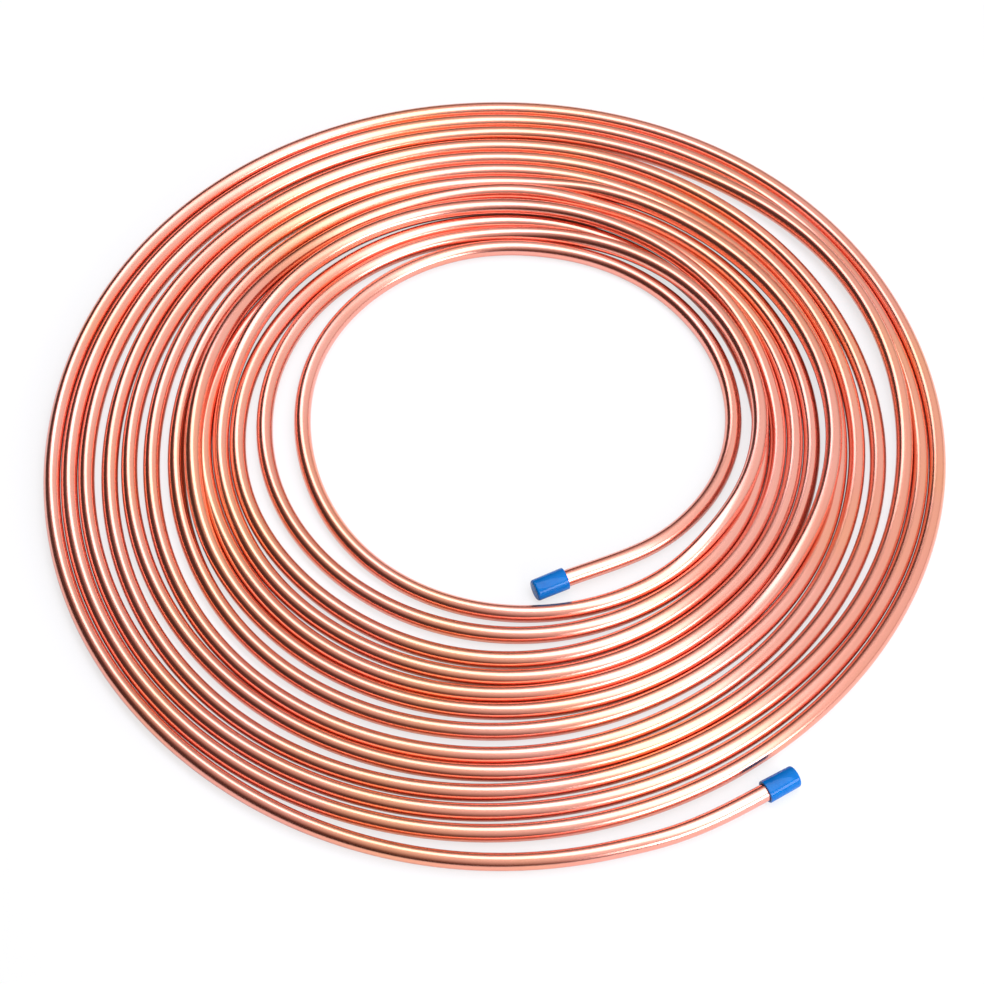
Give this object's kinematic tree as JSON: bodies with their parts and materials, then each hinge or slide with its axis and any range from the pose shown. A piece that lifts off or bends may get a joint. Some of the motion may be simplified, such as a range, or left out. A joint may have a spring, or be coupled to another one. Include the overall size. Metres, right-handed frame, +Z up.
{
  "type": "copper tube coil",
  "caption": "Loose flat coil of bright soft copper tube lying on its side, with a bore in the middle and a blue push-on plastic cap on each tube end.",
  "frame": {"origin": "on the floor, under the middle of the coil's footprint", "axes": "+Z up, +Y away from the viewer, so the outer tube end is in front on the right"},
  "size_m": [0.337, 0.3444, 0.0099],
  "materials": {
    "copper": "bright drawn copper, light drawing lines",
    "cap_plastic": "glossy soft blue plastic"
  },
  "bodies": {
    "root": {"tube_coil": "copper", "inner_end_cap": "cap_plastic", "outer_end_cap": "cap_plastic"}
  },
  "joints": []
}
